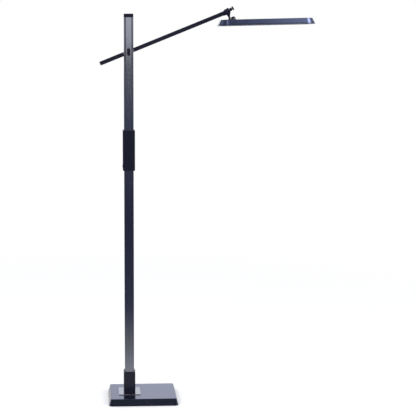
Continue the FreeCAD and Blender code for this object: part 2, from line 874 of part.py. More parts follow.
def column_lead():
    """The lead from the cord inlet, over the weight and up inside the column."""
    body = new_body("column_lead")
    height = "lead_height"
    path = new_sketch(body, "YZ", "0")
    start_y, bend, end_z = "lead_start", "lead_bend", "pivot_height - lead_stop"
    foot = FreeCAD.Vector(value(start_y), value(height), 0)
    turn = FreeCAD.Vector(value(f"lead_back + {bend}"), value(height), 0)
    rise = FreeCAD.Vector(value("lead_back"), value(f"{height} + {bend}"), 0)
    top = FreeCAD.Vector(value("lead_back"), value(end_z), 0)
    centre = FreeCAD.Vector(turn.x, rise.y, 0)
    run = path.addGeometry(Part.LineSegment(foot, turn))
    corner = Part.ArcOfCircle(Part.Circle(centre, UP, value(bend)), math.pi, 1.5 * math.pi)
    arc = path.addGeometry(corner)
    climb = path.addGeometry(Part.LineSegment(rise, top))
    path.addConstraint(Sketcher.Constraint("Tangent", run, 2, arc, 2))
    path.addConstraint(Sketcher.Constraint("Tangent", arc, 1, climb, 1))
    path.addConstraint(Sketcher.Constraint("Horizontal", run))
    path.addConstraint(Sketcher.Constraint("Vertical", climb))
    fix_point(path, run, 1, start_y, height)
    fix_point(path, climb, 2, "lead_back", end_z)
    measure(path, "Radius", arc, bend)
    end = new_sketch(body, "XZ", f"-({start_y})")
    circle("lead_width", "0", height)(end)
    pipe = body.newObject("PartDesign::AdditivePipe", "column_lead_pipe")
    pipe.Profile = end
    pipe.Spine = (path, [])


# Pivot and arm


def pivot_bolt():
    body = new_body("pivot_bolt")
    half = "column_size/2"
    tip = f"-{half} - bolt_reach"
    revolve(
        body,
        (f"{half} - margin", "0"),
        (tip, "0"),
        (tip, "pivot_bolt/2 - bolt_chamfer"),
        (f"{tip} + bolt_chamfer", "pivot_bolt/2"),
        (f"{half} - margin", "pivot_bolt/2"),
        plane="YZ",
    )
    revolve(
        body,
        (f"{half} + running_gap", "0"),
        (f"{half} + running_gap", "bolt_head/2"),
        (f"{half} + bolt_head_rim", "bolt_head/2"),
        (f"{half} + bolt_head_rise*2/3", "bolt_head*3/8"),
        (f"{half} + bolt_head_rise*12/13", "bolt_head/5"),
        (f"{half} + bolt_head_rise", "0"),
        plane="YZ",
    )
    neck = rectangle("pivot_bolt", "pivot_bolt")
    pad(body, "XZ", f"-{half} - overlap", "column_wall + overlap", neck)
    body.setExpression("Placement.Base.z", bound("pivot_height"))


def friction_washers():
    body = new_body("friction_washers")
    body.setExpression("Placement.Base.z", bound("pivot_height"))
    inner = "(column_size/2 - column_wall)"
    for start in (f"-{inner} + touch_gap", f"{inner} - washer_thick - touch_gap"):
        outlines = circle("washer_size"), circle("pivot_bolt + bolt_gap")
        pad(body, "XZ", start, "washer_thick", *outlines)


def knob_plate():
    """The oblong plate between the column's front face and the tension knob."""
    body = new_body("knob_plate")
    body.setExpression("Placement.Base.z", bound("pivot_height"))
    outline = rounded_rectangle("knob_plate_wide", "knob_plate_tall", "knob_plate_corner")
    pad(body, "XZ", "column_size/2", "knob_plate_thick", outline)
    dress(body, "Fillet", "knob_plate_round", lies_at("Y", "-column_size/2 - knob_plate_thick"))
    hole = circle("pivot_bolt + bolt_gap")
    cut(body, "XZ", "column_size/2 - margin", "knob_plate_thick + 2*margin", hole)


KNOB_BACK = "column_size/2 + knob_plate_thick + knob_gap"


def tension_knob():
    body = new_body("tension_knob")
    body.setExpression("Placement.Base.z", bound("pivot_height"))
    pad(body, "XZ", KNOB_BACK, "knob_boss_rise + overlap", circle("knob_boss"))
    outline = rounded_rectangle("grip_wide", "grip_tall", "grip_corner")
    pad(body, "XZ", f"{KNOB_BACK} + knob_boss_rise", "grip_depth", outline)
    face = f"-({KNOB_BACK} + knob_boss_rise + grip_depth)"
    dress(body, "Fillet", "grip_round", lies_at("Y", face))
    bore = circle("insert_size + 2*touch_gap")
    cut(body, "XZ", f"{KNOB_BACK} - margin", "insert_length + thread_gap + margin", bore)


def knob_insert():
    """The threaded brass insert that the knob is moulded on."""
    body = new_body("knob_insert")
    body.setExpression("Placement.Base.z", bound("pivot_height"))
    outlines = circle("insert_size"), circle("pivot_bolt + fit_gap")
    pad(body, "XZ", KNOB_BACK, "insert_length", *outlines)


def arm_outline(size="arm_size", corner="arm_corner"):
    return rounded_rectangle(size, size, corner)


def pivot_block():
    """The block on the pivot bolt, with a drum inside the column and a spigot for each arm tube."""
    body = new_body("pivot_block", "arm")
    half = "(column_size/2 + collar_proud)"
    spigot = arm_outline("arm_size - 2*arm_wall - 2*fit_gap", "spigot_corner")
    pad(body, "YZ", f"-{half}", f"2*{half}", arm_outline())
    drum = "(column_size/2 - column_wall - washer_thick - fit_gap)"
    pad(body, "XZ", f"-{drum}", f"2*{drum}", circle("2*drum_radius"))
    pad(body, "YZ", f"{half} - overlap", "spigot_length + overlap", spigot)
    pad(body, "YZ", f"-{half} - spigot_length", "spigot_length + overlap", spigot)
    bore = circle("pivot_bolt + 2*running_gap")
    cut(body, "XZ", f"-{drum} - margin", f"2*({drum} + margin)", bore)
    cut(body, "YZ", "lead_drop", f"{half} + spigot_length", circle("lead_width + lead_gap"))
    port = circle("lead_port", "lead_drop + lead_gap/2", "0")
    cut(body, "XY", "-arm_size/2 - margin", "arm_size/2 + margin", port)
    threads = [circle("arm_screw + thread_gap", x, "0") for x in arm_screw_places()]
    cut(body, "XZ", "-arm_size/2 - margin", "arm_screw_room + margin", *threads)


def arm_screw_places():
    """Along the arm, one in front of the column and one behind it."""
    place = "(column_size/2 + collar_proud + arm_screw_shift)"
    return [place, f"-{place}"]


def arm_tube(name, start, length, screw):
    body = new_body(name, "arm")
    pad(body, "YZ", start, length, arm_outline())
    inner = arm_outline("arm_size - 2*arm_wall", "arm_corner - arm_wall")
    cut(body, "YZ", f"{start} - margin", f"{length} + 2*margin", inner)
    hole = circle("arm_screw_hole", screw, "0")
    cut(body, "XZ", "-arm_size/2 - margin", "arm_wall + 2*margin", hole)


def arm_tubes():
    """The two arm tubes, each from its collar of the pivot block to its own end of the arm."""
    collar = "column_size/2 + collar_proud"
    ahead, behind = arm_screw_places()
    arm_tube("front_arm", collar, f"arm_front - ({collar})", ahead)
    arm_tube("rear_arm", "-arm_rear", f"arm_rear - ({collar})", behind)


def rear_arm_cap():
    body = new_body("rear_arm_cap", "arm")
    pad(body, "YZ", "-arm_rear - end_cap_thick", "end_cap_thick", arm_outline())
    dress(body, "Fillet", "end_cap_round", lies_at("X", "-arm_rear - end_cap_thick"))
    inner = "arm_size - 2*arm_wall"
    plug = arm_outline(f"{inner} - fit_gap", "spigot_corner")
    pad(body, "YZ", "-arm_rear - overlap", "end_plug + overlap", plug)
    room = arm_outline(f"{inner} - 2*end_plug_wall", "end_plug_corner")
    cut(body, "YZ", "-arm_rear", "end_plug + margin", room)


def arm_screws():
    """Screws from behind that hold each arm tube on its spigot."""
    body = new_body("arm_screws", "arm")
    places = arm_screw_places()
    back = "(arm_size/2 + arm_screw_rise)"
    heads = [circle("arm_screw_head", x, "0") for x in places]
    pad(body, "XZ", f"-{back}", "arm_screw_rise - running_gap", *heads)
    shanks = [circle("arm_screw", x, "0") for x in places]
    pad(body, "XZ", "-arm_size/2 - overlap", "arm_screw_reach + overlap", *shanks)
    keys = [hexagon("arm_screw_key", x, "0") for x in places]
    cut(body, "XZ", f"-{back} - margin", "arm_key_depth + margin", *keys)


def arm_lead():
    body = new_body("arm_lead", "arm")
    pad(body, "YZ", "arm_lead_start", "arm_lead_length", circle("lead_width"))


def end_fitting():
    """The casting on the front end of the arm, with the journal that the swivel collar turns on."""
    body = new_body("end_fitting", "arm")
    sleeve = arm_outline("arm_size + 2*fitting_proud", "arm_corner + fitting_proud")
    pad(body, "YZ", "arm_front", "fitting_length", sleeve)
    dress(body, "Chamfer", "fitting_chamfer", lies_at("X", "arm_front"))
    plug = arm_outline("arm_size - 2*arm_wall - fit_gap", "spigot_corner")
    pad(body, "YZ", "arm_front - fitting_plug", "fitting_plug + overlap", plug)
    kink = "(swivel_angle - arm_angle)"
    sketch = new_sketch(body, "XZ", "0", ("joint_reach", "joint_rise"))
    sketch.AttachmentOffset = FreeCAD.Placement(
        sketch.AttachmentOffset.Base, FreeCAD.Rotation(UP, value(kink))
    )
    sketch.setExpression("AttachmentOffset.Rotation.Angle", bound(kink))
    back, front = "-swivel_half - journal_back", "swivel_half + journal_front"
    outline = polygon(
        (f"{back} - cone_length", "0"),
        (f"{back} - cone_length", "cone_small"),
        (f"{back} - cone_edge", "cone_large"),
        (back, "cone_face"),
        (back, "journal_radius"),
        (front, "journal_radius"),
        (front, "stub_radius"),
        (f"{front} + stub_length", "stub_radius"),
        (f"{front} + stub_length", "0"),
    )
    outline(sketch)
    turned = body.newObject("PartDesign::Revolution", "end_fitting_turned")
    turned.Profile = sketch
    turned.ReferenceAxis = (sketch, ["H_Axis"])
    turned.Angle = 360


# Swivel and knob at the end of the arm


def swivel_collar():
    """The ring that turns on the journal, with the neck and the eye that carry the head."""
    body = new_body("swivel_collar", "swivel")
    bore = "journal_radius + running_gap"
    revolve(
        body,
        ("-swivel_half", bore),
        ("-swivel_half", "swivel_radius - swivel_edge"),
        ("swivel_edge - swivel_half", "swivel_radius"),
        ("-groove_half", "swivel_radius"),
        ("-groove_half/2", "swivel_radius - groove_depth"),
        ("groove_half/2", "swivel_radius - groove_depth"),
        ("groove_half", "swivel_radius"),
        ("swivel_half - swivel_edge", "swivel_radius"),
        ("swivel_half", "swivel_radius - swivel_edge"),
        ("swivel_half", bore),
    )
    stem = rounded_rectangle("neck_width", "2*eye_half", "neck_corner")
    stem_place = ("-neck_back + neck_shift", "0")
    root = rounded_rectangle("neck_root_width", "neck_root_depth", "neck_root_corner")
    loft(
        body,
        "XY",
        ("-neck_drop + neck_width", stem, stem_place),
        ("-swivel_radius + neck_root_sunk", root, ("0", "0")),
    )
    pad(body, "XY", "-neck_drop + neck_end", "neck_width - neck_end", stem, shift=stem_place)
    eye = circle("2*eye_radius", "-neck_back", "-neck_drop")
    pad(body, "XZ", "-eye_half", "2*eye_half", eye)
    pin = circle("bracket_screw + 2*running_gap", "-neck_back", "-neck_drop")
    cut(body, "XZ", "-2*eye_half", "4*eye_half", pin)


def swivel_washer():
    """The steel washer between the knob and the collar, on the end fitting's stub."""
    body = new_body("swivel_washer", "swivel")
    outlines = circle("swivel_washer"), circle("swivel_washer_hole")
    start = "swivel_half + journal_front + fit_gap"
    pad(body, "YZ", start, "swivel_washer_thick", *outlines)


def swivel_knob():
    body = new_body("swivel_knob", "swivel")
    start = "swivel_half + end_knob_gap"
    revolve(
        body,
        (start, "0"),
        (start, "end_boss_radius"),
        (f"{start} + end_boss_length", "end_boss_radius"),
        (f"{start} + end_boss_length + end_edge", "end_flange_radius"),
        (f"{start} + end_flange_length", "end_flange_radius"),
        (f"{start} + end_flange_length + end_edge", "end_waist_radius"),
        (f"{start} + end_waist_length", "end_waist_radius"),
        (f"{start} + end_waist_length + end_rim_edge", "end_rim_radius - end_edge"),
        (f"{start} + end_waist_length + end_rim_edge + end_edge", "end_rim_radius"),
        (f"{start} + end_rim_length", "end_rim_radius"),
        (f"{start} + end_rim_length + end_edge", "end_rim_radius - end_edge"),
        (f"{start} + end_face", "0"),
    )
    cut(body, "YZ", "0", f"{start} + end_knob_room", circle("end_knob_bore"))


def knob_ring():
    body = new_body("knob_ring", "swivel")
    start = "swivel_half + end_knob_gap + end_ring_shift"
    pad(body, "YZ", start, "end_ring_length", circle("end_ring_size"), circle("end_ring_bore"))


# Head


def head_outline(inset):
    return rounded_rectangle(
        f"head_length - 2*({inset})", f"head_depth - 2*({inset})", f"head_corner - ({inset})"
    )


HEAD_SHIFT = ("head_centre", "0")
HEAD_FLOOR = "(head_top - head_height)"
HEAD_SLANT = "atan(head_slope/head_height)"


def inset_at(height):
    """How far the sloping side has come in, that far above the head's lower edge."""
    return f"(head_slope*({height})/head_height)"


def head_housing():
    body = new_body("head_housing", "head")
    low = f"{HEAD_FLOOR} + frame_height + frame_gap"
    height = "head_height - frame_height - frame_gap"
    ceiling = "head_top - head_wall"
    outline = head_outline(inset_at("frame_height + frame_gap"))
    pad(body, "XY", low, height, outline, shift=HEAD_SHIFT)
    slope_sides(body, low, "head_top", low, HEAD_SLANT)
    dress(body, "Fillet", "head_round", lies_at("Z", "head_top"))
    cavity = head_outline(inset_at("head_height - head_wall") + " + head_wall + head_ease")
    depth = f"{height} - head_wall + margin"
    cut(body, "XY", f"{low} - margin", depth, cavity, shift=HEAD_SHIFT)
    slope_sides(body, low, ceiling, ceiling, HEAD_SLANT, outward=True)
    posts = [circle("post_size", x, y) for x, y in frame_screw_places()]
    pad(body, "XY", low, "post_height", *posts, shift=HEAD_SHIFT)
    threads = [circle("post_bore", x, y) for x, y in frame_screw_places()]
    cut(body, "XY", f"{low} - margin", "post_bore_depth + margin", *threads, shift=HEAD_SHIFT)
    holes = [circle("bracket_bolt_hole", x, y) for x, y in bracket_bolt_places()]
    cut(body, "XY", f"{ceiling} - margin", "head_wall + 2*margin", *holes)


def frame_screw_places():
    """Six screws round the rim, clear of the round corners."""
    side_y = "(head_depth/2 - frame_screw_inset)"
    places = []
    for x in ("-frame_screw_x", "0", "frame_screw_x"):
        places += [(x, side_y), (x, f"-{side_y}")]
    return places


def bracket_bolt_places():
    return [
        (x, y)
        for x in ("bracket_bolt_left", "bracket_bolt_right")
        for y in ("-bracket_bolt_side", "bracket_bolt_side")
    ]


def diffuser_frame():
    """The rim that continues the housing's slope and holds the diffuser up."""
    body = new_body("diffuser_frame", "head")
    top = f"{HEAD_FLOOR} + frame_height"
    below, through = f"{HEAD_FLOOR} - margin", "frame_height + 2*margin"
    pad(body, "XY", HEAD_FLOOR, "frame_height", head_outline("0"), shift=HEAD_SHIFT)
    slope_sides(body, HEAD_FLOOR, top, HEAD_FLOOR, HEAD_SLANT)
    dress(body, "Fillet", "frame_round", lies_at("Z", HEAD_FLOOR))
    cut(body, "XY", below, through, head_outline("frame_window"), shift=HEAD_SHIFT)
    seat = f"{HEAD_FLOOR} + frame_seat_lift"
    cut(body, "XY", seat, "frame_height", head_outline("frame_seat"), shift=HEAD_SHIFT)
    holes = [circle("frame_screw_hole", x, y) for x, y in frame_screw_places()]
    cut(body, "XY", below, through, *holes, shift=HEAD_SHIFT)
    recesses = [circle("frame_screw_recess", x, y) for x, y in frame_screw_places()]
    cut(body, "XY", below, "frame_recess_depth + margin", *recesses, shift=HEAD_SHIFT)


def frame_screws():
    body = new_body("frame_screws", "head")
    places = frame_screw_places()
    low = f"{HEAD_FLOOR} + frame_screw_sunk"
    heads = [circle("frame_screw_head", x, y) for x, y in places]
    pad(body, "XY", low, "frame_screw_rise", *heads, shift=HEAD_SHIFT)
    shanks = [circle("frame_screw", x, y) for x, y in places]
    start = f"{low} + frame_screw_rise - thread_gap"
    pad(body, "XY", start, "frame_screw_length", *shanks, shift=HEAD_SHIFT)
    slots = [rectangle("frame_slot_long", "frame_slot_wide", x, y) for x, y in places]
    cut(body, "XY", f"{low} - margin", "frame_slot_depth + margin", *slots, shift=HEAD_SHIFT)


def light_diffuser():
    body = new_body("light_diffuser", "head")
    outline = head_outline("frame_lip + diffuser_gap")
    start = f"{HEAD_FLOOR} + frame_seat_lift"
    pad(body, "XY", start, "diffuser_thick", outline, shift=HEAD_SHIFT)


def heat_spreader():
    body = new_body("heat_spreader", "head")
    start = "head_top - head_wall - spreader_thick"
    plate = rounded_rectangle("head_length - spreader_inset", "spreader_depth", "spreader_corner")
    pad(body, "XY", start, "spreader_thick", plate, shift=HEAD_SHIFT)
    holes = [circle("spreader_hole", x, y) for x, y in bracket_bolt_places()]
    cut(body, "XY", f"{start} - margin", "spreader_thick + 2*margin", *holes)


STRIP_FLOOR = "head_top - head_wall - spreader_thick - strip_thick"


def led_board():
    """Two circuit strips, one each side of the middle."""
    body = new_body("led_board", "head")
    length = "head_length - strip_inset"
    strips = [rectangle(length, "strip_depth", "0", y) for y in ("-strip_side", "strip_side")]
    pad(body, "XY", STRIP_FLOOR, "strip_thick", *strips, shift=HEAD_SHIFT)


def led_chips():
    """Two rows of light-emitting diodes, evenly spaced along the strips."""
    body = new_body("led_chips", "head")
    count = 14
    chips = []
    for number in range(count):
        along = f"({number} - {(count - 1) / 2})*chip_pitch"
        for y in ("-strip_side", "strip_side"):
            chips.append(rectangle("chip_length", "chip_depth", along, y))
    pad(body, "XY", f"{STRIP_FLOOR} - chip_thick", "chip_thick", *chips, shift=HEAD_SHIFT)


def reflector():
    """A white sheet that slopes from the light strips down to the diffuser."""
    body = new_body("reflector", "head")
    low = f"{HEAD_FLOOR} + frame_seat_lift + diffuser_thick + reflector_gap"
    high = "head_top - head_wall - spreader_thick - reflector_gap"
    slant = "reflector_slant"
    height = f"{high} - ({low})"
    roof = f"{high} - reflector_thick"
    pad(body, "XY", low, height, head_outline("reflector_inset"), shift=HEAD_SHIFT)
    slope_sides(body, low, high, low, slant)
    cavity = head_outline(f"reflector_inset + ({height})*tan({slant}) + reflector_thick")
    depth = f"{height} + margin - reflector_thick"
    cut(body, "XY", f"{low} - margin", depth, cavity, shift=HEAD_SHIFT)
    slope_sides(body, low, roof, roof, slant, outward=True)
    length = "head_length - strip_inset + 3*chip_thick - reflector_thick - fit_gap"
    slots = [rectangle(length, "reflector_slot", "0", y) for y in ("-strip_side", "strip_side")]
    cut(body, "XY", f"{roof} - margin", "reflector_thick + 2*margin", *slots, shift=HEAD_SHIFT)


CHEEK_FACE = "(eye_half + cheek_gap + cheek_thick)"


def bracket_side(left, right):
    """A flat side from the top of the head up to the screws' height."""
    return polygon((left, "head_top"), (right, "head_top"), (right, "0"), (left, "0"))


def head_bracket():
    """Foot, two cheeks and the block between them. The neck's eye sits between the cheeks."""
    body = new_body("head_bracket", "head")
    foot = rounded_rectangle("foot_length", "foot_depth", "foot_corner")
    pad(body, "XY", "head_top", "foot_thick", foot, shift=("foot_shift", "0"))
    for start in (f"-{CHEEK_FACE}", "eye_half + cheek_gap"):
        pad(body, "XZ", start, "cheek_thick", bracket_side("cheek_left", "cheek_right"))
        pad(body, "XZ", start, "cheek_thick", circle("cheek_eye"))
        end = circle("cheek_end", "screw_pitch - cheek_end_shift", "0")
        pad(body, "XZ", start, "cheek_thick", end)
    start, middle = "-eye_half - cheek_gap - overlap", "2*(eye_half + cheek_gap + overlap)"
    pad(body, "XZ", start, middle, circle("block_end", "screw_pitch", "0"))
    pad(body, "XZ", start, middle, bracket_side("block_left", "block_right"))
    hole = "bracket_screw + thread_gap"
    pins = circle(hole), circle(hole, "screw_pitch", "0")
    cut(body, "XZ", f"-{CHEEK_FACE} - margin", f"2*({CHEEK_FACE} + margin)", *pins)
    below = rectangle("foot_length + 2*margin", f"2*({CHEEK_FACE} + margin)", "foot_shift", "0")
    cut(body, "XY", "head_top - cheek_end/2", "cheek_end/2", below)
    room = rectangle("cheek_eye - thread_gap", "2*(eye_half + cheek_gap)")
    cut(body, "XY", "head_top", "foot_thick + margin", room)
    threads = [circle("bracket_bolt_thread", x, y) for x, y in bracket_bolt_places()]
    cut(body, "XY", "head_top - margin", "foot_thick + 2*margin", *threads)


def bracket_bolts():
    """Screws from inside the head that hold the bracket down on the housing."""
    body = new_body("bracket_bolts", "head")
    places = bracket_bolt_places()
    seat = "head_top - head_wall"
    heads = [circle("bracket_bolt_head", x, y) for x, y in places]
    pad(body, "XY", f"{seat} - bracket_bolt_rise", "bracket_bolt_rise", *heads)
    shanks = [circle("bracket_bolt", x, y) for x, y in places]
    length = "head_wall + bracket_bolt_reach"
    pad(body, "XY", f"{seat} - thread_gap", length, *shanks)
    keys = [hexagon("bracket_bolt_key", x, y) for x, y in places]
    cut(body, "XY", f"{seat} - bracket_bolt_rise - margin", "bracket_bolt_rise", *keys)


def bracket_screws():
    """The two bright screws through the cheeks. The head tilts on the first."""
    body = new_body("bracket_screws", "head")
    places = ("0", "screw_pitch")
    heads = [circle("bracket_screw_head", x, "0") for x in places]
    pad(body, "XZ", CHEEK_FACE, "bracket_screw_rise", *heads)
    face = f"-({CHEEK_FACE} + bracket_screw_rise)"
    dress(body, "Fillet", "bracket_screw_round", lies_at("Y", face))
    shanks = [circle("bracket_screw", x, "0") for x in places]
    length = f"2*{CHEEK_FACE} + bracket_screw_reach + thread_gap"
    pad(body, "XZ", f"-{CHEEK_FACE} - bracket_screw_reach", length, *shanks)
    keys = [hexagon("bracket_screw_key", x, "0") for x in places]
    cut(body, "XZ", f"{CHEEK_FACE} + bracket_screw_rise - bracket_key_depth", "2*bracket_key_depth", *keys)


def bracket_nuts():
    body = new_body("bracket_nuts", "head")
    outlines = []
    for x in ("0", "screw_pitch"):
        outlines += [hexagon("nut_flats", x, "0"), circle("bracket_screw + fit_gap", x, "0")]
    pad(body, "XZ", f"-{CHEEK_FACE} - nut_thick", "nut_thick", *outlines)


def check_and_write():
    """Stops on any failed feature or bad shape, then writes one file for each sub-part."""
    document.recompute()
    for item in document.Objects:
        if "Invalid" in item.State or "Error" in item.State:
            raise RuntimeError(f"{item.Name} failed: {item.State}")
    for body in sub_parts:
        if body.Shape.isNull() or not body.Shape.isValid() or not body.Shape.Solids:
            raise RuntimeError(f"{body.Label} has no valid solid")
    os.makedirs("parts", exist_ok=True)
    for body in sub_parts:
        body.Shape.exportStep(f"parts/{body.Label}.step")
        box = body.Shape.BoundBox
        low = f"{box.XMin:.1f} {box.YMin:.1f} {box.ZMin:.1f}"
        high = f"{box.XMax:.1f} {box.YMax:.1f} {box.ZMax:.1f}"
        count = len(body.Shape.Solids)
        print(f"{body.Label}: {count} solids, {body.Shape.Volume:.0f} mm3, {low} to {high}")


base_pad()
base_cover()
base_weight()
cover_screws()
foot_bolt()
foot_washer()
base_spacer()
cord_inlet()
trim_plate()
lower_socket()
socket_screws()
lower_column()
upper_column()
column_cap()
column_joiner()
mid_sleeve()
sleeve_screws()
switch_body()
switch_button()
column_lead()
pivot_bolt()
friction_washers()
knob_plate()
tension_knob()
knob_insert()
pivot_block()
arm_tubes()
rear_arm_cap()
arm_screws()
arm_lead()
end_fitting()
swivel_collar()
swivel_washer()
swivel_knob()
knob_ring()
head_housing()
diffuser_frame()
frame_screws()
light_diffuser()
heat_spreader()
led_board()
led_chips()
reflector()
head_bracket()
bracket_bolts()
bracket_screws()
bracket_nuts()
check_and_write()
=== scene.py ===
"""The look of a pharmacy floor lamp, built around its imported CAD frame. Lengths are in metres."""

import json
import math

import bmesh
import bpy
from mathutils import Matrix, Vector

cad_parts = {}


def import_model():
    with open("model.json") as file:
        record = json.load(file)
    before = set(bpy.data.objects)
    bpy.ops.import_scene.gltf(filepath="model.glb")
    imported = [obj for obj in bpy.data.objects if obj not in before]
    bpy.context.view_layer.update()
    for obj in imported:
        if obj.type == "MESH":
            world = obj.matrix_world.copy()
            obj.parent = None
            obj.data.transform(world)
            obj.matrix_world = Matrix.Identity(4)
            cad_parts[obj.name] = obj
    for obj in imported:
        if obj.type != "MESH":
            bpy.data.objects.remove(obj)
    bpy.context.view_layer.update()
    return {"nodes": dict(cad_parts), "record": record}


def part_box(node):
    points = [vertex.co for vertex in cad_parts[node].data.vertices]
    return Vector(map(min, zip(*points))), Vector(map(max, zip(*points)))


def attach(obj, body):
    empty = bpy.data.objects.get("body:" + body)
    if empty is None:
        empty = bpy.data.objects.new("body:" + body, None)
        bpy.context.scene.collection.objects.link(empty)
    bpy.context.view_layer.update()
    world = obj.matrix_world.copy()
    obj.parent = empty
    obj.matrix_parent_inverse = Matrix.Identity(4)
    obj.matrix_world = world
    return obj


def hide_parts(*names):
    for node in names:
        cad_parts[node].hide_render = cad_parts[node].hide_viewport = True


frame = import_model()
scene = bpy.context.scene

MM = 0.001


# Camera: as high as the arm's pivot, four metres in front of the column and a little to its left

CAMERA_PLACE = (-0.1423, -3.9432, 1.4325)
CAMERA_YAW = math.radians(1.824)
CAMERA_PITCH = math.radians(-7.498)
CAMERA_ROLL = math.radians(-0.194)
CAMERA_LENS = 84.98
CAMERA_SENSOR = 36
CAMERA_SHIFT = (0.2, -0.065)
CAMERA_CLIP = (0.05, 200)


def add_camera():
    """The photo's camera, with every distance in focus."""
    data = bpy.data.cameras.new("camera")
    data.lens = CAMERA_LENS
    data.sensor_width = CAMERA_SENSOR
    data.shift_x, data.shift_y = CAMERA_SHIFT
    data.clip_start, data.clip_end = CAMERA_CLIP
    data.dof.use_dof = False
    camera = bpy.data.objects.new("camera", data)
    scene.collection.objects.link(camera)
    turned = Matrix.Rotation(-CAMERA_YAW, 4, "Z")
    tipped = Matrix.Rotation(math.pi / 2 + CAMERA_PITCH, 4, "X")
    rolled = Matrix.Rotation(CAMERA_ROLL, 4, "Z")
    camera.matrix_world = Matrix.Translation(CAMERA_PLACE) @ turned @ tipped @ rolled
    scene.camera = camera


# Node trees

# The sockets of a Mix node that is set to colours
MIX_AMOUNT, MIX_FIRST, MIX_SECOND, MIX_RESULT = 0, 6, 7, 2


class Tree:
    """Short ways to add nodes to a node tree."""

    def __init__(self, tree):
        self.tree = tree

    def node(self, kind, settings=None, **inputs):
        """A node with its settings, and its inputs set or linked by name."""
        made = self.tree.nodes.new("ShaderNode" + kind)
        for name, setting in (settings or {}).items():
            setattr(made, name, setting)
        for name, given in inputs.items():
            self.give(made.inputs[name.replace("_", " ")], given)
        return made

    def give(self, socket, given):
        """Links the socket to another one, or sets it to a plain value."""
        if isinstance(given, bpy.types.NodeSocket):
            self.tree.links.new(given, socket)
        else:
            socket.default_value = given

    def math(self, operation, *given):
        """One number worked out from others."""
        made = self.node("Math", {"operation": operation})
        for socket, one in zip(made.inputs, given):
            self.give(socket, one)
        return made.outputs[0]

    def ranged(self, value, low, high, to_low=0.0, to_high=1.0, smooth=False):
        """The value moved from the range low to high into another range, and held inside it."""
        kind = {"interpolation_type": "SMOOTHSTEP"} if smooth else {}
        made = self.node("MapRange", kind, Value=value)
        made.inputs["From Min"].default_value = low
        made.inputs["From Max"].default_value = high
        made.inputs["To Min"].default_value = to_low
        made.inputs["To Max"].default_value = to_high
        return made.outputs[0]

    def ramp(self, value, *stops):
        """A colour or grey for each place along the value, blended between."""
        made = self.node("ValToRGB", Fac=value)
        elements = made.color_ramp.elements
        while len(elements) < len(stops):
            elements.new(0.5)
        for element, (place, colour) in zip(elements, stops):
            element.position = place
            grey = isinstance(colour, (int, float))
            element.color = (colour, colour, colour, 1) if grey else (*colour, 1)
        return made.outputs["Color"]

    def mix(self, amount, first, second, blend="MIX"):
        """Two colours blended, each one a socket or three numbers."""
        made = self.node("Mix", {"data_type": "RGBA", "blend_type": blend})
        self.give(made.inputs[MIX_AMOUNT], amount)
        for number, one in ((MIX_FIRST, first), (MIX_SECOND, second)):
            self.give(made.inputs[number], one if isinstance(one, bpy.types.NodeSocket) else (*one, 1))
        return made.outputs[MIX_RESULT]

    def mix_shaders(self, amount, first, second):
        """Two shaders blended."""
        made = self.node("MixShader", Fac=amount)
        self.give(made.inputs[1], first)
        self.give(made.inputs[2], second)
        return made.outputs[0]


class Finish(Tree):
    """A material, with its Principled shader and its coordinates in the row frame."""

    def __init__(self, name, **sockets):
        self.material = bpy.data.materials.new(name)
        self.material.use_nodes = True
        super().__init__(self.material.node_tree)
        self.shader = self.tree.nodes["Principled BSDF"]
        for socket, given in sockets.items():
            self.shader.inputs[socket.replace("_", " ")].default_value = given
        self.place = self.node("TexCoord").outputs["Object"]

    def noise(self, scale, detail=3, stretch=(1, 1, 1), offset=0.0):
        """A noise from 0 to 1, most of it between 0.3 and 0.7."""
        moved = self.node("Mapping", Vector=self.place, Scale=stretch, Location=(offset,) * 3)
        made = self.node("TexNoise", Vector=moved.outputs[0], Scale=scale, Detail=detail)
        return made.outputs["Fac"]

    def cells(self, scale, stretch=(1, 1, 1)):
        """The outputs of a pattern of cells."""
        moved = self.node("Mapping", Vector=self.place, Scale=stretch)
        return self.node("TexVoronoi", Vector=moved.outputs[0], Scale=scale).outputs

    def edges(self, radius):
        """How near a sharp edge the surface is, and the normal with that edge rounded."""
        rounded = self.node("Bevel", {"samples": 4}, Radius=radius).outputs[0]
        plain = self.node("NewGeometry").outputs["Normal"]
        flat, sharp = 0.995, 0.8
        agree = self.node("VectorMath", {"operation": "DOT_PRODUCT"})
        self.give(agree.inputs[0], rounded)
        self.give(agree.inputs[1], plain)
        return self.ranged(agree.outputs["Value"], flat, sharp), rounded

    def rubbed(self, tone, bare, near_edge, patches):
        """The tone, with the bare colour where the patches lie along an edge."""
        return self.mix(self.math("MULTIPLY", near_edge, patches), tone, bare)

    def colour(self, given):
        self.give(self.shader.inputs["Base Color"], given)

    def roughness(self, given):
        self.give(self.shader.inputs["Roughness"], given)

    def relief(self, *layers, under=None):
        """Bumps of several heights, each (height, strength, distance), one on top of the other."""
        normal = under
        for height, strength, distance in layers:
            bump = self.node("Bump", Height=height, Strength=strength, Distance=distance)
            if normal is not None:
                self.give(bump.inputs["Normal"], normal)
            normal = bump.outputs[0]
        self.give(self.shader.inputs["Normal"], normal)


def scaled(colour, factor):
    """The colour made lighter or darker, up to white."""
    return tuple(min(1, c * factor) for c in colour)


# Finishes

# Brushing that runs upward, and brushing that runs from left to right
UPWARD = (1, 1, 0.012)
SIDEWAYS = (0.02, 1, 1)


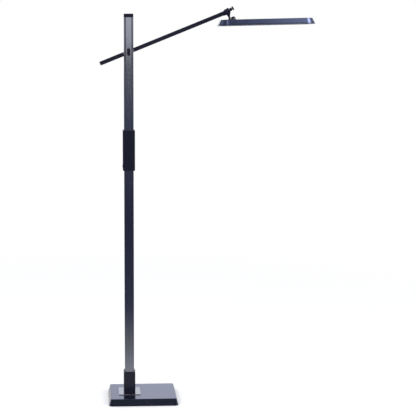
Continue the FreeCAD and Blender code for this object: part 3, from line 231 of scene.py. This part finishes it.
def brushed(name, colour, rough, grain=UPWARD, bright=0.3):
    """Metal brushed along the axis that the grain is stretched on, worn bright at its edges."""
    f = Finish(name, Metallic=1.0)
    streaks = f.noise(scale=1500, detail=4, stretch=grain)
    broad = f.noise(scale=260, stretch=grain, offset=3.1)
    clouds = f.noise(scale=7, detail=4, offset=1.7)
    near_edge, rounded = f.edges(0.6 * MM)
    dark, light, bare = scaled(colour, 0.78), scaled(colour, 1.22), scaled(colour, 2.2)
    tone = f.mix(f.ranged(streaks, 0.3, 0.7), dark, light)
    tone = f.mix(f.ranged(broad, 0.35, 0.65, 0, 0.35), tone, scaled(colour, 0.9))
    tone = f.mix(f.ranged(clouds, 0.35, 0.7, 0, 0.2), tone, scaled(colour, 0.7))
    patches = f.ranged(f.noise(scale=160, detail=5, offset=5.2), 0.4, 0.62, 0, bright)
    f.colour(f.rubbed(tone, bare, near_edge, patches))
    grainy = f.ranged(streaks, 0.3, 0.7, rough - 0.03, rough + 0.04)
    f.roughness(f.math("ADD", grainy, f.ranged(clouds, 0.3, 0.7, -0.02, 0.03)))
    f.relief((streaks, 0.05, 0.04 * MM), (broad, 0.02, 0.1 * MM), under=rounded)
    return f.material


def lacquered(name, colour, metallic=0.85):
    """Metallic paint under a clear coat, with fine flakes and a faint orange peel."""
    f = Finish(name, Metallic=metallic, Coat_Weight=1.0, Coat_Roughness=0.03)
    spark = f.node("SeparateColor", Color=f.cells(scale=2600)["Color"]).outputs[0]
    clouds = f.noise(scale=5, detail=5, offset=2.4)
    smears = f.noise(scale=22, detail=6, stretch=(1, 1, 0.5), offset=7.3)
    near_edge, rounded = f.edges(0.8 * MM)
    tone = f.mix(f.ranged(spark, 0, 1), scaled(colour, 0.92), scaled(colour, 1.09))
    tone = f.mix(f.ranged(clouds, 0.35, 0.7, 0, 0.3), tone, scaled(colour, 0.82))
    patches = f.ranged(f.noise(scale=90, detail=6, offset=4.4), 0.5, 0.7, 0, 0.22)
    f.colour(f.rubbed(tone, scaled(colour, 2.6), near_edge, patches))
    f.roughness(f.ranged(smears, 0.3, 0.75, 0.1, 0.19))
    peel, peel_depth = f.noise(scale=420, detail=2, offset=9.1), 0.06 * MM
    f.relief((peel, 0.05, peel_depth), under=rounded)
    coat = f.node("Bump", Height=peel, Strength=0.035, Distance=peel_depth, Normal=rounded)
    f.give(f.shader.inputs["Coat Normal"], coat.outputs[0])
    return f.material


def powder(name, colour, rough, metallic=0.0, grain=1600, strength=0.12, bright=0.3, gleam=0.3):
    """A satin coat, plastic or cast surface, with a fine texture and edges rubbed lighter."""
    f = Finish(name, Metallic=metallic, Specular_IOR_Level=gleam)
    fine = f.noise(scale=grain)
    cells = f.cells(scale=grain * 0.7)["Distance"]
    clouds = f.noise(scale=14, detail=5, offset=3.3)
    near_edge, rounded = f.edges(0.7 * MM)
    tone = f.mix(f.ranged(fine, 0.3, 0.7), scaled(colour, 0.75), scaled(colour, 1.3))
    tone = f.mix(f.ranged(clouds, 0.4, 0.7, 0, 0.35), tone, scaled(colour, 1.45))
    patches = f.ranged(f.noise(scale=120, detail=6, offset=6.6), 0.42, 0.65, 0, bright)
    f.colour(f.rubbed(tone, scaled(colour, 3.2), near_edge, patches))
    grainy = f.ranged(fine, 0.3, 0.7, rough - 0.06, rough + 0.06)
    f.roughness(f.math("ADD", grainy, f.ranged(clouds, 0.35, 0.7, -0.03, 0.07)))
    f.relief((fine, strength, 0.05 * MM), (cells, strength * 0.4, 0.04 * MM), under=rounded)
    return f.material


def turned_metal(name, colour, rough):
    """Plated or polished small metal parts with faint tool marks and fingerprints."""
    f = Finish(name, Metallic=1.0)
    marks = f.noise(scale=900, stretch=(1, 0.15, 1))
    smears = f.noise(scale=60, detail=6, offset=1.3)
    _, rounded = f.edges(0.4 * MM)
    f.colour(f.mix(f.ranged(smears, 0.35, 0.7), scaled(colour, 1.05), scaled(colour, 0.8)))
    f.roughness(f.ranged(smears, 0.3, 0.75, rough, rough + 0.14))
    f.relief((marks, 0.06, 0.04 * MM), under=rounded)
    return f.material


def opal():
    """The diffuser: milky acrylic with fine prisms across it."""
    f = Finish("opal_acrylic", Subsurface_Weight=0.25, Subsurface_Scale=4 * MM, IOR=1.49)
    haze = f.noise(scale=9, detail=5)
    specks = f.noise(scale=700, offset=4.0)
    tone = f.mix(f.ranged(haze, 0.3, 0.7), (0.66, 0.665, 0.66), (0.74, 0.745, 0.74))
    f.colour(f.mix(f.ranged(specks, 0.55, 0.7, 0, 0.2), tone, (0.58, 0.58, 0.57)))
    f.roughness(f.ranged(haze, 0.3, 0.7, 0.32, 0.44))
    prisms = f.node("TexWave", {"bands_direction": "Y"}, Vector=f.place, Scale=210)
    f.relief((prisms.outputs["Fac"], 0.35, 0.3 * MM), (specks, 0.1, 0.05 * MM))
    return f.material


def board():
    """Solder mask over a circuit, with copper-coloured pads."""
    f = Finish("circuit_board", Coat_Weight=0.3)
    pads = f.cells(scale=110, stretch=(1, 1, 0.1))["Distance"]
    clouds = f.noise(scale=40, detail=4)
    tone = f.mix(f.ranged(clouds, 0.3, 0.7), (0.78, 0.8, 0.78), (0.88, 0.89, 0.86))
    f.colour(f.mix(f.ranged(pads, 0.16, 0.12), tone, (0.62, 0.5, 0.28)))
    f.roughness(f.ranged(clouds, 0.3, 0.7, 0.35, 0.5))
    f.relief((pads, 0.2, 0.1 * MM))
    return f.material


HEAD_PAINT = (0.1, 0.13, 0.26)
BASE_PAINT = (0.1, 0.122, 0.215)
GUNMETAL = (0.41, 0.425, 0.52)
BLACK = (0.0056, 0.006, 0.0165)

# By slot in the record
FINISHES = {
    "black_rubber": powder("rubber", (0.02, 0.02, 0.022), 0.7, grain=900, strength=0.5, bright=0.1),
    "cast_iron": powder("cast_iron", (0.09, 0.09, 0.095), 0.6, 0.6, grain=500, strength=0.8),
    "gloss_grey_metal": lacquered("base_paint", BASE_PAINT, 0.94),
    "plated_steel": turned_metal("plated_steel", (0.56, 0.57, 0.59), 0.24),
    "stainless": brushed("stainless", (0.6, 0.61, 0.65), 0.2, SIDEWAYS, bright=0.15),
    "black_metal": powder("black_metal", BLACK, 0.26, grain=1300, strength=0.08, gleam=0.45),
    "gunmetal_tube": brushed("gunmetal", GUNMETAL, 0.1),
    "black_plastic": powder("black_plastic", BLACK, 0.32, gleam=0.4),
    "black_aluminium": powder("arm_coat", BLACK, 0.18, grain=1100, strength=0.03, bright=0.1, gleam=0.4),
    "blue_grey_aluminium": lacquered("head_paint", HEAD_PAINT, 0.92),
    "satin_zinc": turned_metal("satin_zinc", (0.72, 0.73, 0.77), 0.24),
    "bare_aluminium": brushed("bare_aluminium", (0.72, 0.72, 0.74), 0.35, SIDEWAYS),
    "brass": turned_metal("brass", (0.75, 0.57, 0.27), 0.22),
    "fibre": powder("fibre", (0.3, 0.2, 0.12), 0.7, grain=700, strength=0.5),
    "chrome": turned_metal("chrome", (0.86, 0.88, 0.92), 0.06),
    "opal_acrylic": opal(),
    "white_reflector": powder("white_sheet", (0.86, 0.86, 0.85), 0.5, grain=1300, strength=0.1, bright=0),
    "led_board": board(),
    "led_phosphor": powder("phosphor", (0.85, 0.72, 0.2), 0.4, grain=2400, strength=0.1, bright=0),
}

# Nodes that look different from the rest of their slot
NODE_FINISHES = {
    "diffuser_frame": lacquered("rim_paint", scaled(HEAD_PAINT, 0.62)),
    "knob_plate": turned_metal("knob_plate", (0.8, 0.8, 0.8), 0.2),
}


def dress_cad_nodes():
    """Gives each CAD node its own finish, or else that of its slot in the record."""
    for part in frame["record"]["subparts"]:
        materials = frame["nodes"][part["node"]].data.materials
        materials.clear()
        materials.append(NODE_FINISHES.get(part["node"], FINISHES[part["material_slot"]]))


# Pieces with more shape than their CAD nodes

SHARP_EDGE = math.radians(38)


def superellipse(half_width, half_height, power, count):
    """Points round a rounded box. Power 2 gives an ellipse, 5 a soft square."""
    points = []
    for number in range(count):
        turn = 2 * math.pi * number / count
        across, along = math.cos(turn), math.sin(turn)
        points.append((
            math.copysign(abs(across) ** (2 / power), across) * half_width,
            math.copysign(abs(along) ** (2 / power), along) * half_height,
        ))
    return points


def stadium(radius, straight, count):
    """Points evenly spaced round two half circles, each centred a straight length from the middle."""
    arc = math.pi * radius
    whole = 2 * arc + 4 * straight
    points = []
    for number in range(count):
        gone = whole * number / count
        side = 1
        if gone >= whole / 2:
            gone -= whole / 2
            side = -1
        if gone < straight:
            spot = (radius, gone)
        elif gone < straight + arc:
            turn = (gone - straight) / radius
            spot = (radius * math.cos(turn), straight + radius * math.sin(turn))
        else:
            spot = (-radius, 2 * straight + arc - gone)
        points.append((side * spot[0], side * spot[1]))
    return points


def bridged(build, loops):
    """Faces from each loop of corners to the next."""
    for near, far in zip(loops, loops[1:]):
        for number, corner in enumerate(near):
            following = (number + 1) % len(near)
            build.faces.new((corner, near[following], far[following], far[number]))


def skinned(name, rings, body, finish, ring_shaped=False):
    """A closed skin over rings of points, capped at both ends or joined end to end."""
    build = bmesh.new()
    loops = [[build.verts.new(point) for point in ring] for ring in rings]
    if ring_shaped:
        loops.append(loops[0])
    bridged(build, loops)
    if not ring_shaped:
        for cap in (loops[0], loops[-1]):
            bmesh.ops.poke(build, faces=[build.faces.new(cap)])
    finished(name, build, body, finish)


def finished(name, build, body, finish):
    """Turns the mesh into a smooth piece that replaces the CAD node of its name."""
    bmesh.ops.recalc_face_normals(build, faces=build.faces)
    mesh = bpy.data.meshes.new(name)
    build.to_mesh(mesh)
    build.free()
    for face in mesh.polygons:
        face.use_smooth = True
    mesh.set_sharp_from_angle(angle=SHARP_EDGE)
    piece = bpy.data.objects.new(name + "_shell", mesh)
    scene.collection.objects.link(piece)
    mesh.materials.append(FINISHES[finish])
    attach(piece, body)
    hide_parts(name)


def tension_knob():
    """An oblong grip with a waist, ribbed sides, rounded edges and a raised bar down its face."""
    low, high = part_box("tension_knob")
    half_width, half_height = (high[0] - low[0]) / 2, (high[2] - low[2]) / 2
    middle = (low[2] + high[2]) / 2
    straight = half_height - half_width
    count, waist = 192, 0.09
    rib, rib_pitch = 0.1 * MM, 1.9 * MM
    bore, bore_depth = 5.02 * MM, 9.8 * MM
    boss, boss_depth = 5.7 * MM, 2.1 * MM

    # From rear to face: (inset of the outline, distance from the rear, both in millimetres, and the
    # share of the ribs' depth)
    rear_edge = [(0.7, 2.2, 0), (0.25, 2.4, 0.3)]
    flank = [(0, 2.9, 1), (0, 10.6, 1)]
    shoulder = [(0.2, 11.6, 1), (0.7, 12.5, 0.6), (1.4, 13.0, 0.2), (2.2, 13.1, 0)]
    groove = [(2.7, 12.9, 0), (3.3, 12.5, 0), (3.6, 12.6, 0)]
    raised_bar = [(4.0, 13.2, 0), (4.5, 13.5, 0)]

    def place(points, depth):
        return [(x, high[1] - depth, middle + z) for x, z in points]

    def round_ring(radius, depth):
        return place(superellipse(radius, radius, 2, count), depth)

    def grip(inset, depth, ribbed):
        points = []
        for x, z in stadium(half_width - inset, straight, count):
            waisted = max(0.0, 1 - (z / straight) ** 2)
            wave = 1 - math.cos(2 * math.pi * z / rib_pitch)
            ribs = rib * ribbed * min(1, 2 * waisted) * wave
            points.append((x * (1 - waist * waisted) - math.copysign(ribs, x), z))
        return place(points, depth)

    rings = [round_ring(bore, bore_depth), round_ring(bore, 0)]
    rings += [round_ring(boss, 0), round_ring(boss, boss_depth)]
    for inset, depth, ribbed in rear_edge + flank + shoulder + groove + raised_bar:
        rings.append(grip(inset * MM, depth * MM, ribbed))
    skinned("tension_knob", rings, "tension_knob", "black_plastic")


# The end knob and its ring, turned about one joint's axis. Starts and profiles are in millimetres,
# and a profile point is (distance from the piece's start, radius)

KNOB_JOINT = "end_knob_turn"
KNOB_START = -9.1
RING_START = KNOB_START + 7.8


def turned_rings(start, profile, fluted=(), flutes=0, flute_depth=0.0):
    """Rings of points about the knob joint's axis, with flutes at the profile points in fluted."""
    joint = next(j for j in frame["record"]["behaviour"]["joints"] if j["name"] == KNOB_JOINT)
    centre, axis = Vector(joint["pos_m"]), Vector(joint["axis"]).normalized()
    across = Vector((0, 1, 0))
    other = axis.cross(across)
    count = 120
    rings = []
    for distance, radius in profile:
        depth = flute_depth if (distance, radius) in fluted else 0
        ring = []
        for number in range(count):
            turn = 2 * math.pi * number / count
            cut = depth * (1 - math.cos(flutes * turn)) / 2
            out = (across * math.cos(turn) + other * math.sin(turn)) * (radius - cut) * MM
            ring.append(centre + axis * (start + distance) * MM + out)
        rings.append(ring)
    return rings


def swivel_knob():
    """A waisted knob with a fine flange, a fluted grip disc and a dished end."""
    bore = [(11.2, 4.06), (0, 4.06)]
    hub = [(0, 5.6), (0.35, 6), (4.1, 6), (4.4, 6.5)]
    flange = [(4.8, 7.15), (5.2, 7.3), (6.6, 7.3), (6.95, 7.1)]
    neck = [(7.5, 4.9), (7.9, 4.5), (12.7, 4.5), (13.0, 7.2)]
    grip = [(13.25, 8.2), (13.8, 8.7), (15.7, 8.7), (16.3, 8.2)]
    dish = [(16.55, 7.3), (16.6, 6.6), (16.2, 5.6), (16.1, 3), (16.3, 2.2), (16.85, 1.6), (16.9, 0.9)]
    profile = bore + hub + flange + neck + grip + dish
    rings = turned_rings(KNOB_START, profile, fluted=grip, flutes=30, flute_depth=0.45)
    skinned("swivel_knob", rings, "swivel_knob", "black_plastic")


def knob_ring():
    """A polished ring with two grooves and rounded rims."""
    hole, rim, groove = 4.54, 5.7, 5.45
    profile = [(0, hole), (0, 5.2), (0.15, 5.5), (0.5, rim)]
    for near, inner, outer, far in ((1.3, 1.5, 1.8, 2.0), (3.0, 3.2, 3.5, 3.7)):
        profile += [(near, rim), (inner, groove), (outer, groove), (far, rim)]
    profile += [(4.5, rim), (4.85, 5.5), (5, 5.2), (5, hole)]
    rings = turned_rings(RING_START, profile)
    skinned("knob_ring", rings, "swivel_knob", "chrome", ring_shaped=True)


def switch_button():
    """A soft-cornered button with a dished face, on its stem."""
    low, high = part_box("switch_button")
    middle = (low[2] + high[2]) / 2
    half_width, half_height = high[1], (high[2] - low[2]) / 2
    count = 96
    stem, stem_start, stem_end = 1.8 * MM, 9.5 * MM, 4.9 * MM

    # From stem to face: (inset of the outline, distance from the face, both in millimetres, and the
    # outline's power)
    sides = [(0.3, 4.8, 5), (0, 4.4, 5), (0, 0.9, 5), (0.12, 0.4, 5), (0.5, 0.08, 5), (0.95, 0, 5)]
    dish = [(1.4, 0.12, 4), (2.0, 0.4, 3), (2.8, 0.62, 2.4)]

    def ring(half_y, half_z, depth, power):
        return [(low[0] + depth, y, middle + z) for y, z in superellipse(half_y, half_z, power, count)]

    rings = [ring(stem, stem, stem_start, 2), ring(stem, stem, stem_end, 2)]
    for inset, depth, power in sides + dish:
        rings.append(ring(half_width - inset * MM, half_height - inset * MM, depth * MM, power))
    skinned("switch_button", rings, "switch_button", "black_plastic")


def light_diffuser():
    """A sheet with round corners, flat above and with fine prisms along its underside."""
    low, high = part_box("light_diffuser")
    thick, round_corner, pitch, prism = 2.5 * MM, 25.6 * MM, 2.4 * MM, 0.55 * MM
    slant = math.asin((high[2] - low[2] - thick) / (high[0] - low[0]))
    tilt = Matrix.Rotation(-slant, 4, "Y")
    centre = (Vector(low) + Vector(high)) / 2
    half_length = (high[0] - low[0] - thick * math.sin(slant)) / 2 / math.cos(slant)
    half_depth = (high[1] - low[1]) / 2
    count = 2 * round(half_depth * 2 / pitch)
    build = bmesh.new()
    loops = []
    for number in range(count + 1):
        y = half_depth * (2 * number / count - 1)
        beyond = max(0.0, abs(y) - (half_depth - round_corner))
        reach = half_length - round_corner + math.sqrt(round_corner ** 2 - beyond ** 2)
        under = -thick / 2 + (prism if number % 2 else 0)
        spots = ((-reach, under), (reach, under), (reach, thick / 2), (-reach, thick / 2))
        loops.append([build.verts.new(centre + tilt @ Vector((x, y, z))) for x, z in spots])
    bridged(build, loops)
    build.faces.new(loops[0])
    build.faces.new(loops[-1])
    finished("light_diffuser", build, "head", "opal_acrylic")


# Studio. Reflections see what the photo's glossy parts show on the camera's side, called ahead: a
# bright band above the horizon, dark sides, and a softbox high up on the right. East, north and up
# are the parts of a direction, from -1 to 1, and sideways is east moved to the range 0 to 1

WHITE = (1.0, 1.0, 1.0)
SOFT_WHITE = (0.95, 0.96, 1.0)


def mirrored_low(t, east, sideways, up, front):
    """What reflections see all round, up to the softbox."""
    # The horizon is where the level is 0.1
    level = t.ranged(up, -0.1, 0.9)
    ahead = t.ramp(
        level,
        (0.0, 0.2), (0.08, 0.2), (0.09, 0.185), (0.095, 0.15), (0.0985, 0.13), (0.1, 0.9), (0.19, 0.85),
        (0.26, 0.07), (0.5, 0.07), (1.0, 0.12),
    )
    behind = t.ramp(level, (0.0, (0.5, 0.5, 0.55)), (0.1, (0.74, 0.76, 0.84)), (0.25, (0.85, 0.88, 0.96)))
    around = t.mix(front, behind, ahead)
    off_centre = t.math("ABSOLUTE", east)
    sides = t.ramp(
        off_centre,
        (0.0, 0.87), (0.045, 0.97), (0.085, 1.0), (0.17, 0.6), (0.6, 0.62), (0.9, 0.45),
    )
    panels = t.ramp(
        sideways,
        (0.1, 0.8), (0.25, 0.5), (0.35, 0.26), (0.492, 0.26), (0.505, 1.0), (0.54, 1.0), (0.555, 0.26),
        (0.7, 0.3), (0.85, 0.8),
    )
    shaded = t.mix(1.0, around, sides, "MULTIPLY")
    return t.mix(1.0, shaded, t.mix(front, WHITE, panels), "MULTIPLY")


def mirrored_high(t, sideways, up):
    """What reflections see high up ahead: a bright softbox on the right, a faint one on the left."""
    softbox = t.ramp(
        sideways,
        (0.2, 0.07), (0.3, 0.07), (0.38, 0.22), (0.43, 0.42), (0.48, 0.3), (0.535, 0.07), (0.555, 0.05),
        (0.57, 0.07), (0.6, 0.36), (0.612, 0.42), (0.64, 0.7), (0.7, 1.7), (0.76, 1.9), (0.81, 1.3),
        (0.86, 0.4), (0.95, 0.1),
    )
    strength = t.ranged(up, 0.84, 0.97, 2.5, 1.2, smooth=True)
    grey = t.node("CombineColor", Red=strength, Green=strength, Blue=strength).outputs[0]
    return t.mix(1.0, softbox, grey, "MULTIPLY")


def world():
    """White to the camera, soft white light, and a studio with dark sides for reflections."""
    made = bpy.data.worlds.new("studio")
    scene.world = made
    made.use_nodes = True
    made.cycles.sampling_method = "NONE"
    t = Tree(made.node_tree)
    direction = t.node("SeparateXYZ", Vector=t.node("TexCoord").outputs["Generated"])
    east, north, up = direction.outputs
    sideways = t.ranged(east, -1.0, 1.0)
    front = t.ranged(north, 0.15, -0.15, smooth=True)
    high = t.math("MULTIPLY", t.ranged(up, 0.4, 0.55, smooth=True), front)
    seen = t.mix(high, mirrored_low(t, east, sideways, up, front), mirrored_high(t, sideways, up))
    path = t.node("LightPath").outputs
    lit = t.mix(path["Is Glossy Ray"], SOFT_WHITE, seen)
    background = made.node_tree.nodes["Background"]
    t.give(background.inputs["Color"], t.mix(path["Is Camera Ray"], lit, WHITE))


FLOOR_REACH = 70
PALE, PALER = (0.9, 0.9, 0.9), (0.94, 0.94, 0.94)


def floor():
    """A pale floor that fades to white, and that reflections see dark beyond a metre or so."""
    mesh = bpy.data.meshes.new("floor")
    corners = [(x * FLOOR_REACH, y * FLOOR_REACH, 0) for x, y in ((-1, -1), (1, -1), (1, 1), (-1, 1))]
    mesh.from_pydata(corners, [], [(0, 1, 2, 3)])
    plane = bpy.data.objects.new("floor", mesh)
    scene.collection.objects.link(plane)
    mesh.materials.append(floor_finish())


def floor_finish():
    """Pale and matt near the lamp, plain white far off, and dark to reflections."""
    material = bpy.data.materials.new("floor")
    material.use_nodes = True
    material.cycles.emission_sampling = "NONE"
    t = Tree(material.node_tree)
    t.tree.nodes.remove(t.tree.nodes["Principled BSDF"])
    place = t.node("TexCoord").outputs["Object"]
    distance = t.node("VectorMath", {"operation": "LENGTH"})
    t.give(distance.inputs[0], place)
    metres = distance.outputs["Value"]
    grit = t.node("TexNoise", Vector=place, Scale=30.0, Detail=5.0).outputs["Fac"]
    pale = t.mix(grit, PALE, PALER)
    matt = t.node("BsdfDiffuse", Color=pale).outputs[0]
    white = t.node("Emission", Color=(*WHITE, 1)).outputs[0]
    plain = t.mix_shaders(t.ranged(metres, 0.9, 3.5, smooth=True), matt, white)
    # From a tenth of a metre at 0, by powers of ten, to a hundred metres at 1
    decades = t.ranged(t.math("LOGARITHM", metres, 10.0), -1.0, 2.0)
    mirrored = t.ramp(
        decades,
        (0.1, 0.52), (0.233, 0.4), (0.3, 0.26), (0.39, (0.066, 0.074, 0.11)),
        (0.55, (0.038, 0.044, 0.072)), (0.76, (0.1, 0.115, 0.155)), (1.0, 0.24),
    )
    reflected = t.node("Emission", Color=mirrored).outputs[0]
    both = t.mix_shaders(t.node("LightPath").outputs["Is Glossy Ray"], plain, reflected)
    t.give(t.tree.nodes["Material Output"].inputs["Surface"], both)
    return material


LIGHT_TARGET = (0.2, 0, 0.9)


def soft_light(name, place, size, power):
    """A square lamp that faces the object and that neither the camera nor a reflection sees."""
    data = bpy.data.lights.new(name, "AREA")
    data.shape = "SQUARE"
    data.size = size
    data.energy = power
    light = bpy.data.objects.new(name, data)
    scene.collection.objects.link(light)
    light.location = place
    light.rotation_euler = (Vector(LIGHT_TARGET) - Vector(place)).to_track_quat("-Z", "Y").to_euler()
    light.visible_glossy = False
    light.visible_camera = False


dress_cad_nodes()
tension_knob()
swivel_knob()
knob_ring()
switch_button()
light_diffuser()
add_camera()
world()
floor()
soft_light("key_light", (-2.2, -2.6, 3.4), size=2.0, power=60)
soft_light("fill_light", (2.8, -2.2, 2.4), size=2.4, power=30)
scene.view_settings.view_transform = "Standard"
